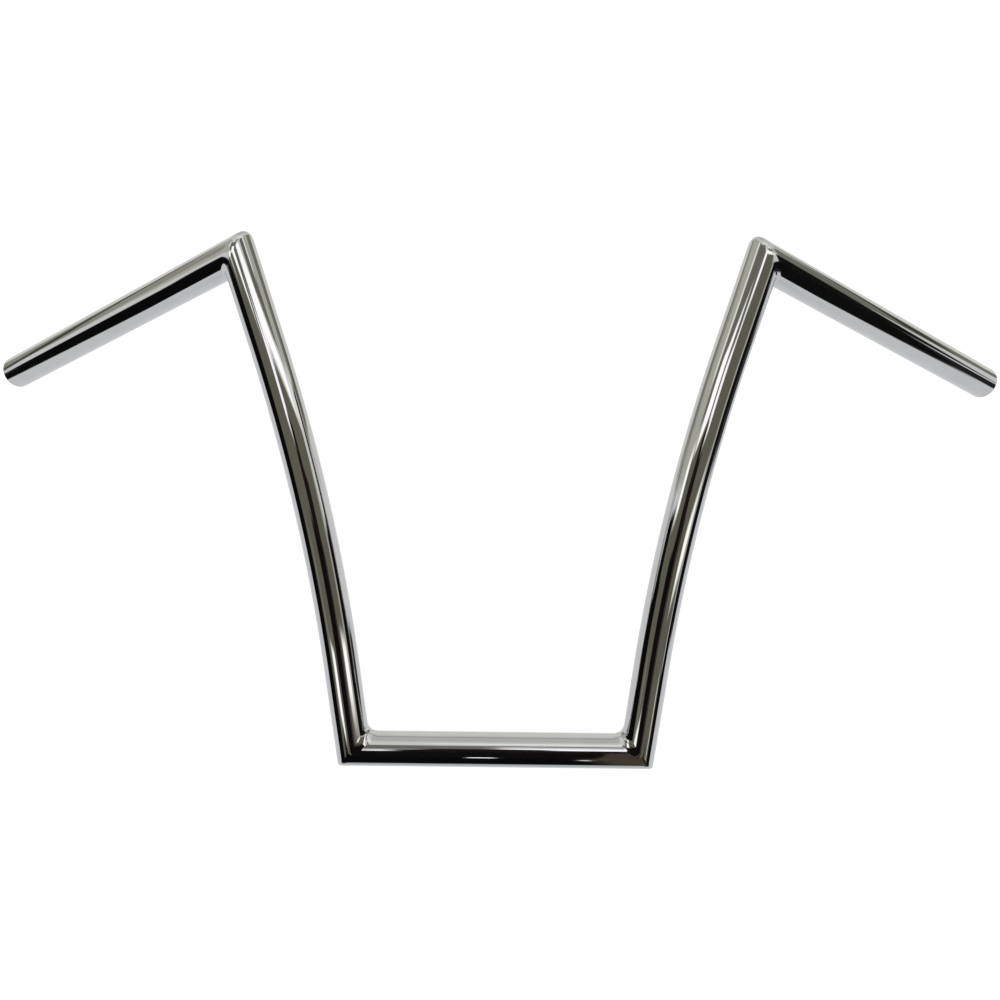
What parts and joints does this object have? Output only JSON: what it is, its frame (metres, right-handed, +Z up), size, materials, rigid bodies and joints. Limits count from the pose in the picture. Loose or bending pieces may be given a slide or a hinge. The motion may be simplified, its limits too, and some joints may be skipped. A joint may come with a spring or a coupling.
{
  "type": "motorcycle handlebar",
  "caption": "Chromed steel tube handlebar with square mitred corners, tall bent risers and grip tubes swept out, back and down.",
  "frame": {"origin": "middle of the clamp tube on its centreline, midway between the two lower corners", "axes": "+X along the clamp tube to the rider's left, +Y back to the rider, +Z up along the risers"},
  "size_m": [0.8084, 0.185, 0.3804],
  "materials": {
    "chrome": "mirror polished"
  },
  "bodies": {
    "root": {"clamp_tube": "chrome", "left_riser_tube": "chrome", "right_riser_tube": "chrome", "left_grip_tube": "chrome", "right_grip_tube": "chrome", "left_lower_weld": "chrome", "right_lower_weld": "chrome", "left_upper_weld": "chrome", "right_upper_weld": "chrome"}
  },
  "joints": []
}
